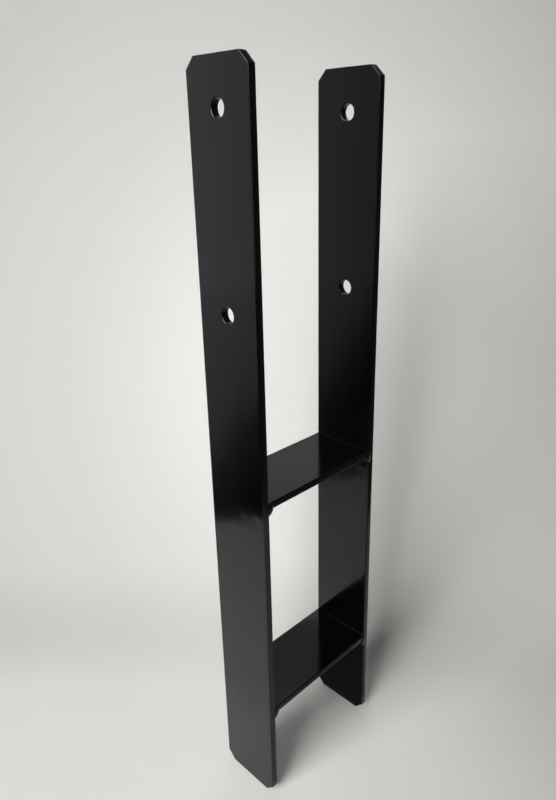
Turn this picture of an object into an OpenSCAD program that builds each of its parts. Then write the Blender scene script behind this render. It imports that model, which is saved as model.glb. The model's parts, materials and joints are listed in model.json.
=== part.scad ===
// Post anchor: an H-shaped steel bracket whose foot is cast into concrete and whose arms hold a square
// timber post. Two upright legs of flat bar are joined by two level cross plates of the same bar, with a
// fillet weld under each plate end. X runs across the gap between the legs, Y along the bar's width and
// Z up. The origin is on the ground, in the middle of the foot.

/* [Post] */
// Clear width between the legs: the post's width and a little play
gap_w = 121; // [81:1:161]

/* [Flat bar] */
// Width of the bar that the legs and the cross plates are cut from
bar_w = 60; // [50:1:80]
// Thickness of the bar
bar_t = 6; // [5:0.5:10]
// Radius of the bar's rolled long edges
edge_r = 1; // [0.5:0.1:1.5]

/* [Legs] */
// Height of the legs
leg_h = 600; // [500:5:800]
// Length that is cut off each way at the corners of a leg's ends
corner_cut = 8; // [4:0.5:12]

/* [Cross plates] */
// Height of the post seat, which is the top of the upper plate
seat_h = 296; // [220:1:380]
// Height of the top of the lower plate
lower_plate_h = 96; // [60:1:160]

/* [Bolt holes] */
// Diameter of the bolt holes
hole_d = 12; // [9:0.5:17]
// Distance from the top of a leg down to its upper hole
hole_from_top = 31; // [20:1:45]
// Distance from the upper hole down to the lower hole
hole_pitch = 133; // [70:1:150]
// Radius of the rounded rims of the holes
rim_r = 0.6; // [0.3:0.1:1]

/* [Welds] */
// Leg length of the fillet welds, along the plate and along the leg
weld_leg = 5; // [4:0.5:7]
// Height of a bead's crown above the straight face of the fillet
weld_crown = 0.5; // [0.2:0.1:1]
// Width of the dab that ends a bead on the front and back edges of the bar
dab_w = 6; // [4:0.2:7]
// Height of a dab above those edges
dab_proud = 1.1; // [0.6:0.1:1.5]
// Distance of a dab's upper end below the top of the plate
dab_below_top = 1; // [0.5:0.1:1.5]
// Distance of a dab's middle from the face of the leg
dab_from_leg = 1; // [0:0.1:2]

/* [Hidden] */
$fn = 64;

coat = [0.03, 0.03, 0.034];
bead_coat = [0.07, 0.07, 0.075];

half_gap = gap_w / 2;
half_bar = bar_w / 2;
hole_heights = [leg_h - hole_from_top, leg_h - hole_from_top - hole_pitch];
// Radius of a bead's face, an arc over the fillet's straight face that rises by the crown
bead_r = (pow(weld_leg, 2) / 2 + pow(weld_crown, 2)) / (2 * weld_crown);
// Distance of that arc's centre behind the plate's underside, and behind the leg's face
bead_back = (bead_r - weld_crown) / sqrt(2) - weld_leg / 2;
// Radius of a dab's round top, which is as wide as the dab where it meets the edges
dab_r = (pow(dab_w / 2, 2) + pow(dab_proud, 2)) / (2 * dab_proud);
// Heights of the middles of a dab's two round ends, from the plate's underside
dab_top = bar_t - dab_below_top - dab_w / 2;
dab_bottom = dab_w / 2 - weld_leg;

// Section of the flat bar: thickness along X from 0, width along Y
module bar_section() {
    translate([edge_r, -half_bar])
        square([bar_t - 2 * edge_r, bar_w]);
    translate([0, edge_r - half_bar])
        square([bar_t, bar_w - 2 * edge_r]);
    for (x = [edge_r, bar_t - edge_r], y = [edge_r - half_bar, half_bar - edge_r])
        translate([x, y])
            circle(edge_r);
}

// Outline of a leg's wide face, with all four corners cut: width along X, height along Y
module leg_outline() {
    polygon([
        [corner_cut - half_bar, 0],
        [half_bar - corner_cut, 0],
        [half_bar, corner_cut],
        [half_bar, leg_h - corner_cut],
        [half_bar - corner_cut, leg_h],
        [corner_cut - half_bar, leg_h],
        [-half_bar, leg_h - corner_cut],
        [-half_bar, corner_cut]
    ]);
}

// What is removed at a hole's rim, round Z, on a face that lies at Z = 0 with the metal below it
module rim_cut() {
    rotate_extrude()
        difference() {
            translate([hole_d / 2 - rim_r, -rim_r])
                square([2 * rim_r, 2 * rim_r]);
            translate([hole_d / 2 + rim_r, -rim_r])
                circle(rim_r);
        }
}

// A bolt hole along X through a leg whose inner face lies at X = 0
module bolt_hole() {
    rotate([0, 90, 0]) {
        translate([0, 0, -bar_t])
            cylinder(d = hole_d, h = 3 * bar_t);
        translate([0, 0, bar_t])
            rim_cut();
        mirror([0, 0, 1])
            rim_cut();
    }
}

// The leg on the +X side: a length of bar with cut corners and two bolt holes in its upper arm
module leg() {
    translate([half_gap, 0, 0])
        difference() {
            intersection() {
                linear_extrude(leg_h)
                    bar_section();
                rotate([90, 0, 90])
                    linear_extrude(bar_t)
                        leg_outline();
            }
            for (z = hole_heights)
                translate([0, 0, z])
                    bolt_hole();
        }
}

// A length of bar that fits between the legs, with its top at a given height
module cross_plate(top) {
    translate([-half_gap, 0, top])
        rotate([0, 90, 0])
            linear_extrude(gap_w)
                bar_section();
}

// Section of a bead: distance from the leg along X, distance below the plate along Y
module bead_section() {
    intersection() {
        square(2 * weld_leg);
        translate([-bead_back, -bead_back])
            circle(bead_r);
    }
}

// The dab that ends a bead at the front: a round-ended bar of weld metal, cut flat where it lies on the
// front edges of the plate and the leg and on the end of the bead. It laps just over the bead's face.
module dab() {
    intersection() {
        translate([half_gap - dab_from_leg, dab_r - dab_proud - half_bar, 0]) {
            translate([0, 0, dab_bottom])
                cylinder(r = dab_r, h = dab_top - dab_bottom);
            for (z = [dab_bottom, dab_top])
                translate([0, 0, z])
                    sphere(dab_r);
        }
        translate([0, -half_bar - dab_r, -bar_w])
            cube([gap_w, dab_r, 2 * bar_w]);
        translate([half_gap + bead_back, 0, bead_back])
            rotate([90, 0, 0])
                cylinder(r = bead_r + weld_crown / 2, h = bar_w);
    }
}

// The fillet weld under the +X end of a plate, seated on the plate's underside and on the leg's face
module weld(top) {
    translate([0, 0, top - bar_t]) {
        translate([half_gap, half_bar, 0])
            rotate([90, 180, 0])
                linear_extrude(bar_w)
                    bead_section();
        dab();
        mirror([0, 1, 0])
            dab();
    }
}

module left_leg() {
    color(coat)
        mirror([1, 0, 0])
            leg();
}

module right_leg() {
    color(coat)
        leg();
}

module upper_cross_plate() {
    color(coat)
        cross_plate(seat_h);
}

module lower_cross_plate() {
    color(coat)
        cross_plate(lower_plate_h);
}

module upper_left_weld() {
    color(bead_coat)
        mirror([1, 0, 0])
            weld(seat_h);
}

module upper_right_weld() {
    color(bead_coat)
        weld(seat_h);
}

module lower_left_weld() {
    color(bead_coat)
        mirror([1, 0, 0])
            weld(lower_plate_h);
}

module lower_right_weld() {
    color(bead_coat)
        weld(lower_plate_h);
}

left_leg();
right_leg();
upper_cross_plate();
lower_cross_plate();
upper_left_weld();
upper_right_weld();
lower_left_weld();
lower_right_weld();
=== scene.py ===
import json
import math

import bmesh
import bpy
from mathutils import Matrix, Vector


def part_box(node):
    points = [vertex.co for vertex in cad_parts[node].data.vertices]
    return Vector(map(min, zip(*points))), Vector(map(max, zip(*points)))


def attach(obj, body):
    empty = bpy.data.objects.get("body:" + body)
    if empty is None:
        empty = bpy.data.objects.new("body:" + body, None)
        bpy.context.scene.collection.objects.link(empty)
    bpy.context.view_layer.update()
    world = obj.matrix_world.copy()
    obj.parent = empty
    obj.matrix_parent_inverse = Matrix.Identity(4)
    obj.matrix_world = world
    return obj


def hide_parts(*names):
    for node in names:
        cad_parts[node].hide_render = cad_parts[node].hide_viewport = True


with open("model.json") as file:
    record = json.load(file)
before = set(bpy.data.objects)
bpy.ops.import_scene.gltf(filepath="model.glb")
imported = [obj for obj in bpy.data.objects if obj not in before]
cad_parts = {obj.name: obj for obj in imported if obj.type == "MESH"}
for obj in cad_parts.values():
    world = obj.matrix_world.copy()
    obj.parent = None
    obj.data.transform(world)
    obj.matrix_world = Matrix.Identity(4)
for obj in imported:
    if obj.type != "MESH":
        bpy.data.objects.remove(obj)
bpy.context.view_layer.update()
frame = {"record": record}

# Legs
# Two upright lengths of hot-rolled flat steel bar with rounded long edges. Their end corners are sheared off
# and each upper arm is drilled for two bolts. The welded anchor is powder coated gloss black as a whole.
MM = 0.001
rolled_edge = 1.0 * MM
cut_edge = 0.45 * MM
hole_rim = 0.8 * MM
corner_cut = 8 * MM
corner_round = 1.1 * MM
corner_steps = 4
corner_guard = 1.5 * MM
arris_steps = 6
hole_steps = 64
bolt_holes = [
    (mount["pos_m"][2], mount["dims"]["r_mm"] * MM)
    for mount in frame["record"]["mounts"]
    if mount["kind"] == "bore"
]


class Wire:
    """An output of a node. Arithmetic on wires adds Math nodes, and node() adds any other node."""

    def __init__(self, tree, socket=None):
        self.tree = tree
        self.socket = socket

    def node(self, kind, settings, inputs, output=0):
        """Adds a node, makes its settings, then sets or links its inputs. Gives one of its outputs."""
        made = self.tree.nodes.new(kind)
        for name, value in settings.items():
            if name == "stops":
                ramp = made.color_ramp.elements
                ramp.remove(ramp[-1])
                ramp[0].position, ramp[0].color = value[0]
                for position, colour in value[1:]:
                    ramp.new(position).color = colour
            else:
                setattr(made, name, value)
        for name, value in inputs.items():
            if isinstance(value, Wire):
                self.tree.links.new(value.socket, made.inputs[name])
            else:
                made.inputs[name].default_value = value
        return Wire(self.tree, made.outputs[output]) if made.outputs else None

    def maths(self, operation, *values):
        return self.node("ShaderNodeMath", {"operation": operation}, dict(enumerate(values)))

    def __add__(self, other):
        return self.maths("ADD", self, other)

    def __radd__(self, other):
        return self.maths("ADD", other, self)

    def __sub__(self, other):
        return self.maths("SUBTRACT", self, other)

    def __rsub__(self, other):
        return self.maths("SUBTRACT", other, self)

    def __mul__(self, other):
        return self.maths("MULTIPLY", self, other)

    def __rmul__(self, other):
        return self.maths("MULTIPLY", other, self)

    def __truediv__(self, other):
        return self.maths("DIVIDE", self, other)

    def __rtruediv__(self, other):
        return self.maths("DIVIDE", other, self)


def gloss_black(name, grain, weld_heights=(), peel=1.0, shine=0.5):
    """Powder coat over steel: shallow orange peel, rolling waves in the bar and a bulge behind each weld.

    The heat of the welds has also bowed the bar a little outwards, which shows in what its faces mirror."""
    fine_height, slow_height, wave_height = 0.008 * MM, 0.05 * MM, 0.025 * MM
    bulge_reach, bulge_height, bulge_mottle = 16 * MM, 0.03 * MM, 0.14 * MM
    bow_reach, bow_height = 60 * MM, 0.6 * MM
    coat = bpy.data.materials.new(name)
    coat.use_nodes = True
    coat.node_tree.nodes.clear()
    tree = Wire(coat.node_tree)
    place = tree.node("ShaderNodeTexCoord", {}, {}, "Object")
    height = place.node("ShaderNodeSeparateXYZ", {}, {"Vector": place}, "Z")
    out = place.node("ShaderNodeSeparateXYZ", {}, {"Vector": place}, "X")
    facing = place.node("ShaderNodeTexCoord", {}, {}, "Normal")
    facing = place.node("ShaderNodeSeparateXYZ", {}, {"Vector": facing}, "X")
    outer = place.maths("SIGN", out * facing)
    along = place.node("ShaderNodeVectorMath", {"operation": "MULTIPLY"}, {0: place, 1: grain})

    def noise(vector, scale, detail):
        inputs = {"Vector": vector, "Scale": scale, "Detail": detail, "Roughness": 0.5}
        return place.node("ShaderNodeTexNoise", {}, inputs)

    fine_peel = noise(place, 420.0, 1.0)
    slow_peel = noise(place, 95.0, 0.0)
    rolling = noise(along, 1.0, 1.0)
    cloud = noise(place, 28.0, 3.0)
    speck = noise(place, 900.0, 0.0)
    relief = (fine_peel * fine_height + slow_peel * slow_height) * peel + rolling * wave_height
    for weld_height in weld_heights:
        from_weld = (height - weld_height) / bulge_reach
        bulge = place.maths("MAXIMUM", 1 - from_weld * from_weld, 0.0)
        relief = relief + bulge * bulge * (bulge_height + bulge_mottle * slow_peel)
        from_weld = (height - weld_height) / bow_reach
        bow = place.maths("MAXIMUM", 1 - from_weld * from_weld, 0.0)
        relief = relief + bow * bow * outer * bow_height
    normal = place.node("ShaderNodeBump", {}, {"Strength": 1.0, "Distance": 1.0, "Height": relief})
    depth = cloud * 0.6 + speck * 0.4
    stops = [(0.25, (0.0002, 0.0003, 0.0005, 1)), (0.8, (0.0006, 0.0007, 0.0010, 1))]
    colour = place.node("ShaderNodeValToRGB", {"stops": stops}, {"Fac": depth})
    haze = 0.085 + 0.05 * cloud + 0.02 * speck
    inputs = {
        "Base Color": colour,
        "Roughness": haze,
        "Normal": normal,
        "IOR": 1.45,
        "Specular IOR Level": shine,
        "Specular Tint": (0.97, 1.0, 1.12, 1),
    }
    surface = place.node("ShaderNodeBsdfPrincipled", {}, inputs)
    place.node("ShaderNodeOutputMaterial", {}, {"Surface": surface})
    return coat


def outward(start, end):
    """The direction out of an outline that is walked anticlockwise."""
    step = (Vector(end) - Vector(start)).normalized()
    return Vector((step.y, -step.x))


def outline(corners, arrises):
    """Walks round an outline with small arcs at its corners: place, direction out, radius of the arris.

    A guard point beside each end of an arc keeps the shading of the straight edge true."""
    loop = []
    for k, corner in enumerate(corners):
        before = outward(corners[k - 1], corner)
        after = outward(corner, corners[(k + 1) % len(corners)])
        centre = Vector(corner) - (before + after) * corner_round / (1 + before.dot(after))
        guard = Vector((before.y, -before.x)) * corner_guard
        loop.append((centre + before * corner_round + guard, before, arrises[k - 1]))
        for step in range(corner_steps + 1):
            share = step / corner_steps
            out = before.lerp(after, share).normalized()
            arris = (1 - share) * arrises[k - 1] + share * arrises[k]
            loop.append((centre + out * corner_round, out, arris))
        guard = Vector((-after.y, after.x)) * corner_guard
        loop.append((centre + after * corner_round + guard, after, arrises[k]))
    return loop


def round_hole(centre, radius):
    """Walks round a drilled hole, where the direction out of the metal is towards the middle of the hole."""
    turns = [math.tau * step / hole_steps for step in range(hole_steps)]
    spokes = [Vector((math.cos(turn), math.sin(turn))) for turn in turns]
    return [(Vector(centre) + spoke * radius, -spoke, hole_rim) for spoke in spokes]


def wrap_edge(metal, loop, near, far, put):
    """Wraps the rounded edge of a bar round a loop, from its near face to its far face. Gives both rims.

    A radius below zero makes a hollow fillet that climbs above the face."""
    quarter = [math.pi / 2 * step / arris_steps for step in range(arris_steps + 1)]
    rings = []
    for face, inward, turns in ((near, 1, quarter), (far, -1, reversed(quarter))):
        for turn in turns:
            ring = []
            for spot, out, arris in loop:
                across = spot - out * abs(arris) * (1 - math.sin(turn))
                level = face + inward * arris * (1 - math.cos(turn))
                ring.append(metal.verts.new(put(across.x, across.y, level)))
            rings.append(ring)
    for ring, following in zip(rings, rings[1:]):
        for k in range(len(loop)):
            metal.faces.new((ring[k - 1], ring[k], following[k], following[k - 1])).smooth = True
    return rings[0], rings[-1]


def bar_piece(name, node, loops, near, far, put, coat):
    """A flat piece of bar between two levels, with rounded edges round all of its loops."""
    metal = bmesh.new()
    rims = [wrap_edge(metal, loop, near, far, put) for loop in loops]
    for face_rims in zip(*rims):
        edges = [metal.edges.get((rim[k - 1], rim[k])) for rim in face_rims for k in range(len(rim))]
        bmesh.ops.triangle_fill(metal, use_beauty=True, edges=edges)
    bmesh.ops.recalc_face_normals(metal, faces=metal.faces)
    mesh = bpy.data.meshes.new(name)
    metal.to_mesh(mesh)
    metal.free()
    mesh.materials.append(coat)
    piece = bpy.data.objects.new(name, mesh)
    bpy.context.scene.collection.objects.link(piece)
    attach(piece, "root")
    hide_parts(node)
    return piece


plate_boxes = {node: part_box(node) for node in ("upper_cross_plate", "lower_cross_plate")}
# The right leg's copy of the coat mirrors less than the left leg's, so its faces read darker: painted shade.
for leg, leg_shine in (("left_leg", 0.5), ("right_leg", 0.42)):
    low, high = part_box(leg)
    weld_heights = [plate_low.z - 1 * MM for plate_low, plate_high in plate_boxes.values()]
    leg_coat = gloss_black("powder_coat_" + leg, (160.0, 160.0, 7.0), weld_heights, shine=leg_shine)
    leg_corners = [
        (low.y + corner_cut, low.z),
        (high.y - corner_cut, low.z),
        (high.y, low.z + corner_cut),
        (high.y, high.z - corner_cut),
        (high.y - corner_cut, high.z),
        (low.y + corner_cut, high.z),
        (low.y, high.z - corner_cut),
        (low.y, low.z + corner_cut),
    ]
    leg_arrises = [cut_edge, cut_edge, rolled_edge, cut_edge, cut_edge, cut_edge, rolled_edge, cut_edge]
    leg_loops = [outline(leg_corners, leg_arrises)]
    leg_loops += [round_hole((0, hole_height), radius) for hole_height, radius in bolt_holes]
    bar_piece(leg + "_bar", leg, leg_loops, low.x, high.x, lambda u, v, w: (w, u, v), leg_coat)

# Cross plates
# Two short lengths of the same flat bar, sawn square to fit between the legs and coated with them. The upper
# one is the seat of the post and the lower one is cast into the concrete. The coat fills the joint a little.
joint_fillet = 0.35 * MM
plate_coat = gloss_black("powder_coat_plates", (7.0, 160.0, 160.0))
for plate, (low, high) in plate_boxes.items():
    plate_corners = [(low.x, low.y), (high.x, low.y), (high.x, high.y), (low.x, high.y)]
    plate_arrises = [rolled_edge, -joint_fillet, rolled_edge, -joint_fillet]
    plate_loop = outline(plate_corners, plate_arrises)
    bar_piece(plate + "_bar", plate, [plate_loop], low.z, high.z, lambda u, v, w: (u, v, w), plate_coat)

# Fillet welds
# A bead of weld metal fills the corner under each plate end over the whole width of the bar, in small
# overlapping ripples. It ends at the front and the back in a dab that laps over the edges of the bars.
bead_coat = gloss_black("powder_coat_welds", (160.0, 160.0, 160.0), peel=1.6)
bead_root, bead_bulge = 0.3, 1.12
around, lengthways = 40, 300
ripple_pitch, ripple_height, ripple_bow = 1.7 * MM, 0.22 * MM, 0.9 * MM
bead_start, bead_swell = 0.35, 0.14
dab_half_width = 3 * MM
dab_segments, dab_rings = 40, 24

weld_tree = bpy.data.node_groups.new("Fillet weld", "GeometryNodeTree")
weld_inputs = {}
for input_name, kind in (
    ("Length", "NodeSocketFloat"),
    ("Leg", "NodeSocketFloat"),
    ("Ripple Pitch", "NodeSocketFloat"),
    ("Ripple Height", "NodeSocketFloat"),
    ("Ripple Bow", "NodeSocketFloat"),
    ("Dab Size", "NodeSocketVector"),
    ("Dab Place", "NodeSocketVector"),
    ("Seed", "NodeSocketFloat"),
    ("Material", "NodeSocketMaterial"),
):
    made_input = weld_tree.interface.new_socket(name=input_name, in_out="INPUT", socket_type=kind)
    weld_inputs[input_name] = made_input.identifier
weld_tree.interface.new_socket(name="Geometry", in_out="OUTPUT", socket_type="NodeSocketGeometry")
weld = Wire(weld_tree)
entry = weld_tree.nodes.new("NodeGroupInput")


def given(name):
    """One of the weld's named inputs."""
    return Wire(weld_tree, entry.outputs[name])


def vector(x, y, z):
    return weld.node("ShaderNodeCombineXYZ", {}, {"X": x, "Y": y, "Z": z})


# The bead is a grid rolled round its own length: u runs round the section and v along the weld.
grid_node = weld_tree.nodes.new("GeometryNodeMeshGrid")
grid_node.inputs["Vertices X"].default_value = around + 1
grid_node.inputs["Vertices Y"].default_value = lengthways + 1
grid = Wire(weld_tree, grid_node.outputs["Mesh"])
grid_uv = Wire(weld_tree, grid_node.outputs["UV Map"])
u = weld.node("ShaderNodeSeparateXYZ", {}, {"Vector": grid_uv}, "X")
v = weld.node("ShaderNodeSeparateXYZ", {}, {"Vector": grid_uv}, "Y")
turn = u * math.tau + math.radians(225)
side_x = weld.maths("COSINE", turn)
side_z = weld.maths("SINE", turn)
to_face = weld.maths("COSINE", turn - math.radians(45))
spread = given("Leg") * bead_root
face_reach = given("Leg") * ((1 - 2 * bead_root) / math.sqrt(2) * bead_bulge)
tiny = 0.01
to_leg = spread / weld.maths("MAXIMUM", 0 - side_x, tiny)
to_plate = spread / weld.maths("MAXIMUM", 0 - side_z, tiny)
to_crown = face_reach / weld.maths("MAXIMUM", to_face, tiny)
reach = weld.maths("MINIMUM", weld.maths("MINIMUM", to_leg, to_plate), to_crown)
run = (v - 0.5) * given("Length")
wander = weld.node(
    "ShaderNodeTexNoise",
    {"noise_dimensions": "4D"},
    {"Vector": vector(0.0, run, 0.0), "W": given("Seed"), "Scale": 260.0, "Detail": 1.0},
)
crown = weld.maths("MAXIMUM", to_face - bead_start, 0.0) / (1 - bead_start)
lag = (1 - to_face) * given("Ripple Bow") * 4 + (wander - 0.5) * given("Ripple Pitch") * 2.2
phase = (run + lag) / given("Ripple Pitch") * math.pi
ripple = weld.maths("ABSOLUTE", weld.maths("SINE", phase)) - 0.6
swell = (wander - 0.5) * bead_swell * given("Leg")
reach = reach + crown * (ripple * given("Ripple Height") + swell)
ends = weld.maths("LESS_THAN", weld.maths("ABSOLUTE", v - 0.5), 0.4999)
section = given("Leg") * bead_root
rolled = vector(section + side_x * reach * ends, run, section + side_z * reach * ends)
bead = weld.node("GeometryNodeSetPosition", {}, {"Geometry": grid, "Position": rolled})
bead = weld.node("GeometryNodeMergeByDistance", {}, {"Geometry": bead, "Distance": 0.004 * MM})

# The dab is a flat-backed dome with a few slow ripples, placed once at each end of the bead.
ball_node = weld_tree.nodes.new("GeometryNodeMeshUVSphere")
ball_node.inputs["Segments"].default_value = dab_segments
ball_node.inputs["Rings"].default_value = dab_rings
ball_node.inputs["Radius"].default_value = 1.0
ball = Wire(weld_tree, ball_node.outputs["Mesh"])
spot = weld.node("GeometryNodeInputPosition", {}, {})
ball_x = weld.node("ShaderNodeSeparateXYZ", {}, {"Vector": spot}, "X")
ball_y = weld.node("ShaderNodeSeparateXYZ", {}, {"Vector": spot}, "Y")
ball_z = weld.node("ShaderNodeSeparateXYZ", {}, {"Vector": spot}, "Z")
lump = weld.node(
    "ShaderNodeTexNoise",
    {"noise_dimensions": "4D"},
    {"Vector": spot, "W": given("Seed"), "Scale": 1.3, "Detail": 1.0},
)
size_x = weld.node("ShaderNodeSeparateXYZ", {}, {"Vector": given("Dab Size")}, "X")
size_y = weld.node("ShaderNodeSeparateXYZ", {}, {"Vector": given("Dab Size")}, "Y")
size_z = weld.node("ShaderNodeSeparateXYZ", {}, {"Vector": given("Dab Size")}, "Z")
dab_x = weld.node("ShaderNodeSeparateXYZ", {}, {"Vector": given("Dab Place")}, "X")
dab_z = weld.node("ShaderNodeSeparateXYZ", {}, {"Vector": given("Dab Place")}, "Z")
from_middle = weld.maths("SQRT", ball_x * ball_x + ball_z * ball_z)
spoke_x = ball_x / weld.maths("MAXIMUM", from_middle, tiny)
spoke_z = ball_z / weld.maths("MAXIMUM", from_middle, tiny)
slope_reach = (given("Leg") * 1.1 - dab_x - dab_z) / math.sqrt(2)
slope = weld.maths("MAXIMUM", (spoke_x + spoke_z) / math.sqrt(2), 0.0) / slope_reach
sides = weld.maths("ABSOLUTE", spoke_x) / size_x
dab_ends = weld.maths("ABSOLUTE", spoke_z) / size_z
roundness = 5
crowding = weld.maths("POWER", slope, roundness) + weld.maths("POWER", sides, roundness)
crowding = crowding + weld.maths("POWER", dab_ends, roundness)
dab_reach = weld.maths("POWER", crowding, -1 / roundness) * from_middle
puddle = weld.maths("ABSOLUTE", weld.maths("SINE", (ball_z + 0.35 * ball_x * ball_x) * 3.4))
dome = (1 - from_middle * from_middle) * (0.78 + 0.14 * puddle + 0.25 * (lump - 0.5))
dome = dome * weld.maths("GREATER_THAN", ball_y, 0.0)
domed = vector(spoke_x * dab_reach, dome * size_y, spoke_z * dab_reach)
dab = weld.node("GeometryNodeSetPosition", {}, {"Geometry": ball, "Position": domed})
front_place = vector(dab_x, given("Length") / 2, dab_z)
front = weld.node("GeometryNodeTransform", {}, {"Geometry": dab, "Translation": front_place})
back = weld.node("GeometryNodeTransform", {}, {"Geometry": front, "Scale": (1.0, -1.0, 1.0)})
join_node = weld_tree.nodes.new("GeometryNodeJoinGeometry")
for strand in (bead, front, back):
    weld_tree.links.new(strand.socket, join_node.inputs["Geometry"])
joined = Wire(weld_tree, join_node.outputs["Geometry"])
joined = weld.node("GeometryNodeSetShadeSmooth", {}, {"Geometry": joined})
joined = weld.node("GeometryNodeRealizeInstances", {}, {"Geometry": joined})
joined = weld.node("GeometryNodeSetMaterial", {}, {"Geometry": joined, "Material": given("Material")})
weld.node("NodeGroupOutput", {}, {"Geometry": joined})

turned = {"left": Matrix.Rotation(math.pi, 4, "X"), "right": Matrix.Rotation(math.pi, 4, "Y")}
weld_places = [(level, hand) for level in ("upper", "lower") for hand in ("left", "right")]
for seed, (level, hand) in enumerate(weld_places):
    node = f"{level}_{hand}_weld"
    low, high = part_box(node)
    plate_low, plate_high = plate_boxes[level + "_cross_plate"]
    root_x = plate_high.x
    reach_in, reach_out = min(abs(low.x), abs(high.x)), max(abs(low.x), abs(high.x))
    dab_middle = Vector((root_x - reach_out + dab_half_width, 0, plate_low.z - (low.z + high.z) / 2))
    values = {
        "Length": plate_high.y - plate_low.y,
        "Leg": root_x - reach_in,
        "Ripple Pitch": ripple_pitch,
        "Ripple Height": ripple_height,
        "Ripple Bow": ripple_bow,
        "Dab Size": (dab_half_width, high.y - plate_high.y, (high.z - low.z) / 2),
        "Dab Place": dab_middle,
        "Seed": 3.7 * seed,
        "Material": bead_coat,
    }
    name = f"{level}_{hand}_bead"
    piece = bpy.data.objects.new(name, bpy.data.meshes.new(name))
    bpy.context.scene.collection.objects.link(piece)
    maker = piece.modifiers.new("Fillet weld", "NODES")
    maker.node_group = weld_tree
    for input_name, value in values.items():
        maker[weld_inputs[input_name]] = value
    made = piece.evaluated_get(bpy.context.evaluated_depsgraph_get())
    mesh = bpy.data.meshes.new_from_object(made)
    piece.modifiers.remove(maker)
    piece.data = mesh
    mesh.name = name
    root = Vector((root_x if hand == "right" else -root_x, 0, plate_low.z))
    mesh.transform(Matrix.Translation(root) @ turned[hand])
    metal = bmesh.new()
    metal.from_mesh(mesh)
    bmesh.ops.recalc_face_normals(metal, faces=metal.faces)
    metal.to_mesh(mesh)
    metal.free()
    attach(piece, "root")
    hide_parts(node)

# Floor and backdrop
# A sheet of pale matt paper lies under the anchor and is folded up close behind it, in line with the camera.
# It is seen from its front only, so that the anchor can be looked at from behind, where more paper lies on
# the floor. Its colour holds painted light: a pale pool of painted light behind the anchor that falls off
# all round it, and painted light on the flat floor, most on the left, that evens out the window's shade
# there against the fold, which faces the window.
heading = math.radians(45.83)
sheet_half_width, sheet_front, sheet_top = 0.9, -2.4, 1.8
sheet_rise, sheet_sweep, sheet_bend = 0.052, 0.16, math.radians(67)
sweep_steps = 40
profile = [(sheet_front, 0.0), (sheet_rise, 0.0)]
for step in range(sweep_steps):
    along = (step + 0.5) / sweep_steps
    bend = sheet_bend * along * along * (3 - 2 * along)
    stride = sheet_sweep / sweep_steps
    depth, height = profile[-1]
    profile.append((depth + stride * math.cos(bend), height + stride * math.sin(bend)))
depth, height = profile[-1]
profile.append((depth + (sheet_top - height) / math.tan(sheet_bend), sheet_top))
along_view = Matrix.Rotation(-heading, 4, "Z")


def stage_strip(name, rows, material):
    """A strip of stage surface through rows of points, turned to stand in line with the camera."""
    mesh = bpy.data.meshes.new(name)
    points = [along_view @ Vector(point) for row in rows for point in row]
    faces = [(2 * k, 2 * k + 1, 2 * k + 3, 2 * k + 2) for k in range(len(rows) - 1)]
    mesh.from_pydata(points, [], faces)
    mesh.polygons.foreach_set("use_smooth", [True] * len(faces))
    mesh.materials.append(material)
    strip = bpy.data.objects.new(name, mesh)
    bpy.context.scene.collection.objects.link(strip)
    return strip


def stage_reach(tree, spot, direction):
    """How far a spot lies along a direction of the stage, in metres."""
    inputs = {0: spot, 1: along_view @ Vector(direction)}
    return tree.node("ShaderNodeVectorMath", {"operation": "DOT_PRODUCT"}, inputs, "Value")


paper = bpy.data.materials.new("pale_paper")
paper.use_nodes = True
paper.node_tree.nodes.clear()
paper_tree = Wire(paper.node_tree)
paper_place = paper_tree.node("ShaderNodeTexCoord", {}, {}, "Object")
paper_cloud = paper_tree.node("ShaderNodeTexNoise", {}, {"Vector": paper_place, "Scale": 3.0, "Detail": 2.0})
aside = stage_reach(paper_tree, paper_place, (1, 0, 0))
upward = stage_reach(paper_tree, paper_place, (0, 0, 1))
# Painted light: the paper's tone is brightest round a spot behind the anchor and falls off all round it.
pool_aside, pool_up, pool_half_width, pool_half_height, pool_end = 0.03, 0.28, 0.3, 0.4, 1.7
from_aside = (aside - pool_aside) / pool_half_width
from_up = (upward - pool_up) / pool_half_height
pool = (paper_cloud - 0.5) * 0.1 + from_aside * from_aside + from_up * from_up
pool = paper_tree.maths("SQRT", paper_tree.maths("MAXIMUM", pool, 0.0)) / pool_end
paper_tones = ((0.1, 0.765), (0.5, 0.765), (0.75, 0.67), (1.0, 0.595), (1.25, 0.555), (1.6, 0.49))
paper_stops = [(place / pool_end, (tone, tone + 0.005, tone - 0.01, 1)) for place, tone in paper_tones]
paper_and_painted_light = paper_tree.node("ShaderNodeValToRGB", {"stops": paper_stops}, {"Fac": pool})
# Painted light: the flat paper is painted brighter than the fold, which the window lights more, most so on
# the left.
paper_facing = paper_tree.node("ShaderNodeNewGeometry", {}, {}, "Normal")
flat = paper_tree.node("ShaderNodeSeparateXYZ", {}, {"Vector": paper_facing}, "Z")
steep = paper_tree.maths("SQRT", paper_tree.maths("MAXIMUM", 1 - flat * flat, 0.0))
window_level, window_up = 0.644, 0.574
risen = window_level * math.sin(sheet_bend) + window_up * math.cos(sheet_bend)
painted_light_factor = risen / (steep * window_level + flat * window_up)
even_middle, even_slant, even_limit = 0.6, 1.3, 0.35
aside = paper_tree.maths("MAXIMUM", paper_tree.maths("MINIMUM", aside, even_limit), -even_limit)
inputs = {0: paper_and_painted_light, "Scale": 1 + (painted_light_factor - 1) * (even_middle - aside * even_slant)}
paper_and_painted_light = paper_tree.node("ShaderNodeVectorMath", {"operation": "SCALE"}, inputs, "Vector")
paper_surface = paper_tree.node("ShaderNodeBsdfDiffuse", {}, {"Color": paper_and_painted_light})
paper_back = paper_tree.node("ShaderNodeNewGeometry", {}, {}, "Backfacing")
see_through = paper_tree.node("ShaderNodeBsdfTransparent", {}, {})
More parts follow.
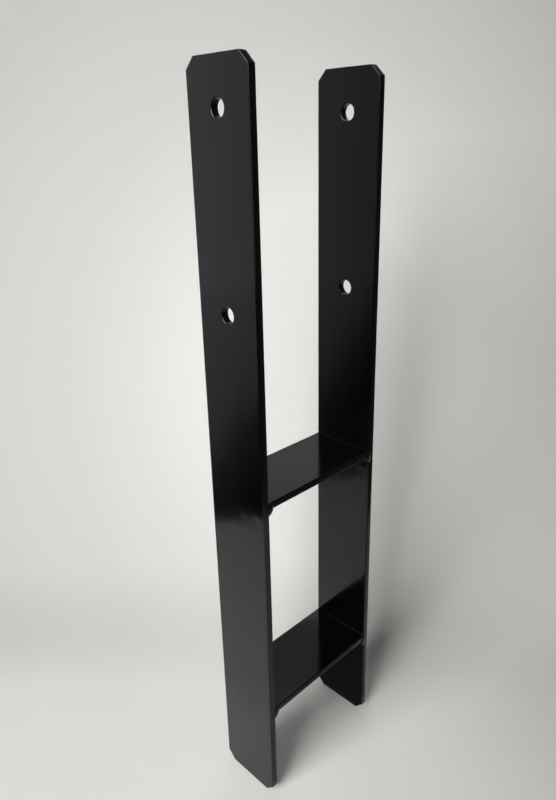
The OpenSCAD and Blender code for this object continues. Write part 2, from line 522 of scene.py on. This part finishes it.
paper_sides = paper_tree.node("ShaderNodeMixShader", {}, {0: paper_back, 1: paper_surface, 2: see_through})
paper_tree.node("ShaderNodeOutputMaterial", {}, {"Surface": paper_sides})
sheet_rows = [
    [(-sheet_half_width, depth, height), (sheet_half_width, depth, height)] for depth, height in profile
]
stage_strip("paper_sweep", sheet_rows, paper)
behind_drop = -0.2 * MM
behind_rows = [
    [(-sheet_half_width, depth, behind_drop), (sheet_half_width, depth, behind_drop)]
    for depth in (sheet_rise, -sheet_front)
]
stage_strip("paper_behind", behind_rows, paper)

# Cards
# Grey cards on the paper and round it are painted reflections that keep the gloss black: only the faces of
# the steel mirror them. Their greys stand for the room, and where the steel should mirror shaded floor they
# are darker than the paper: painted shade. A bright one high on the left glows though it is no lamp and
# draws painted highlights along the edges. No card is seen, and none lights a thing or casts a shadow.
card_span = 10.0


def grey(level):
    return (level, level, level, 1)


def card(name, rows, axis, *greys, strength=1.0):
    """A card that only reflections see. Its grey changes along an axis of the stage.

    The greys are pairs of a place along that axis, in metres, and a grey."""
    material = bpy.data.materials.new(name)
    material.use_nodes = True
    material.node_tree.nodes.clear()
    tree = Wire(material.node_tree)
    spot = tree.node("ShaderNodeTexCoord", {}, {}, "Object")
    metres = stage_reach(tree, spot, axis)
    stops = [(place / card_span + 0.5, grey(level)) for place, level in greys]
    shade = tree.node("ShaderNodeValToRGB", {"stops": stops}, {"Fac": metres / card_span + 0.5})
    surface = tree.node("ShaderNodeEmission", {}, {"Color": shade, "Strength": strength})
    tree.node("ShaderNodeOutputMaterial", {}, {"Surface": surface})
    made = stage_strip(name, rows, material)
    made.visible_camera = False
    made.visible_diffuse = False
    made.visible_shadow = False
    made.visible_transmission = False


lift = 3 * MM
left_edge, left_end, right_edge, front_edge = -0.465, -2.2, 0.44, -0.47
card_front, card_back = -2.3, 0.6
left_rows = [
    [(left_edge, card_front, lift), (left_end, card_front, lift)],
    [(left_edge, card_back, lift), (left_end, card_back, lift)],
]
left_greys = [
    (0.4, 0.02),
    (0.55, 0.04),
    (0.65, 0.07),
    (0.75, 0.1),
    (0.82, 0.16),
    (0.92, 0.26),
    (1.05, 0.34),
    (1.3, 0.4),
    (1.7, 0.45),
    (2.2, 0.51),
    (3.2, 0.58),
]
card("left_floor_card", left_rows, (-1, 3.5, 0), *left_greys)
wall_rows = [
    [(left_end, -1.1, lift), (left_end, -1.1, 1.6)],
    [(left_end, card_back, lift), (left_end, card_back, 1.6)],
]
wall_greys = [(-0.5, 0.3), (-0.32, 0.36), (-0.08, 0.53), (0.0, 0.59), (0.2, 0.68)]
card("left_wall_card", wall_rows, (0, 1, 0), *wall_greys)
front_rows = [
    [(left_edge, card_front, lift), (right_edge, card_front, lift)],
    [(left_edge, front_edge, lift), (right_edge, front_edge, lift)],
]
card("front_floor_card", front_rows, (0, 1, 0), (0.0, 0.06))
# A painted reflection of the floor in front of the anchor, darker than the paper, and darker still beside
# the right foot: painted shade.
foot_rows = [
    [(right_edge, -0.3, lift), (right_edge, 0.03, lift)],
    [(0.08, -0.3, lift), (0.08, 0.03, lift)],
    [(0.07, -0.3, lift), (0.07, -0.045, lift)],
    [(-0.015, -0.3, lift), (-0.015, -0.045, lift)],
]
card("right_floor_card", foot_rows, (0, 1, 0), (-0.05, 0.4), (-0.04, 0.21))
# Painted shade: a dark card between the feet, under the lower plate, for the shaded floor that the inner
# face of the right leg mirrors.
painted_shade_rows = [
    [(-0.06, -0.012, 0.5 * MM), (0.062, -0.012, 0.5 * MM)],
    [(-0.06, 0.075, lift), (0.062, 0.075, lift)],
]
card("painted_shade_card", painted_shade_rows, (0, 1, 0), (0.0, 0.1))
right_rows = [
    [(right_edge, card_front, 0.0), (right_edge, card_front, 2.0)],
    [(right_edge, 0.25, 0.0), (right_edge, 0.25, 2.0)],
    [(right_edge + 0.1, 0.9, 0.0), (right_edge + 0.1, 0.9, 2.0)],
]
card("right_wall_card", right_rows, (0, 1, 0), (0.0, 0.08))
back_rows = [
    [(-0.5, 0.17, 0.2), (0.43, 0.17, 0.2)],
    [(-0.5, 0.68, 1.4), (0.43, 0.68, 1.4)],
]
card("back_card", back_rows, (0, 0, 1), (0.2, 0.34), (0.36, 0.36), (0.42, 0.5), (1.4, 0.5))
# Painted highlights: a bright card that glows though it is no lamp, seen only in the gloss.
highlight_rows = [
    [(-1.71, -1.376, 1.14), (-1.71, -1.376, 2.8)],
    [(-2.137, -0.525, 1.14), (-2.137, -0.525, 2.8)],
]
card("painted_highlight_card", highlight_rows, (0, 1, 0), (0.0, 1.0), strength=9.0)

# Light
# One wide window stands on the left of the anchor, a little in front of it. The pale room fills in dimly
# from all round, but shows at its full tone in the gloss and behind the paper.
window_data = bpy.data.lights.new("window", "AREA")
window_data.shape = "RECTANGLE"
window_data.size = 1.53
window_data.size_y = 1.35
window_data.energy = 69.0
window_data.color = (1.0, 0.99, 0.97)
window = bpy.data.objects.new("window", window_data)
window.location = (-1.952, -0.226, 1.436)
window_aim = Vector((0, 0, 0.4))
window.rotation_euler = (window_aim - window.location).to_track_quat("-Z", "Y").to_euler()
window.visible_camera = False
bpy.context.scene.collection.objects.link(window)

world = bpy.data.worlds.new("pale_room")
bpy.context.scene.world = world
world.use_nodes = True
world.node_tree.nodes.clear()
room = Wire(world.node_tree)
toward = room.node("ShaderNodeTexCoord", {}, {}, "Object")
climb = room.node("ShaderNodeSeparateXYZ", {}, {"Vector": toward}, "Z")
room_tones = ((0.0, 0.5), (0.5, 0.55), (0.62, 0.52), (0.72, 0.44), (0.84, 0.36), (0.93, 0.13), (1.0, 0.1))
room_stops = [(place, grey(tone)) for place, tone in room_tones]
room_colour = room.node("ShaderNodeValToRGB", {"stops": room_stops}, {"Fac": climb * 0.5 + 0.5})
seen = room.node("ShaderNodeLightPath", {}, {}, "Is Camera Ray")
seen = seen + room.node("ShaderNodeLightPath", {}, {}, "Is Glossy Ray")
seen = seen + room.node("ShaderNodeLightPath", {}, {}, "Is Transmission Ray")
fill = 0.18
strength = fill + seen * (1 - fill)
room_light = room.node("ShaderNodeBackground", {}, {"Color": room_colour, "Strength": strength})
room.node("ShaderNodeOutputWorld", {}, {"Surface": room_light})

# Camera
# It stands where the photographer stood: left of the anchor and in front of it, a little below its top.
eye = Vector((-0.35373, -0.34289, 0.54804))
pitch, roll = math.radians(-20.705), math.radians(-0.782)
picture_width, picture_height = 556, 800
focal_pixels, centre_x, centre_y = 655.83, 294.56, 390.62
camera_data = bpy.data.cameras.new("camera")
camera_data.sensor_width = 36.0
camera_data.lens = focal_pixels / picture_height * camera_data.sensor_width
camera_data.shift_x = (picture_width / 2 - centre_x) / picture_height
camera_data.shift_y = (centre_y - picture_height / 2) / picture_height
camera = bpy.data.objects.new("camera", camera_data)
tilt = Matrix.Rotation(math.pi / 2 + pitch, 4, "X") @ Matrix.Rotation(roll, 4, "Z")
camera.matrix_world = Matrix.Translation(eye) @ along_view @ tilt
bpy.context.scene.collection.objects.link(camera)
bpy.context.scene.camera = camera
bpy.context.scene.view_settings.view_transform = "Standard"
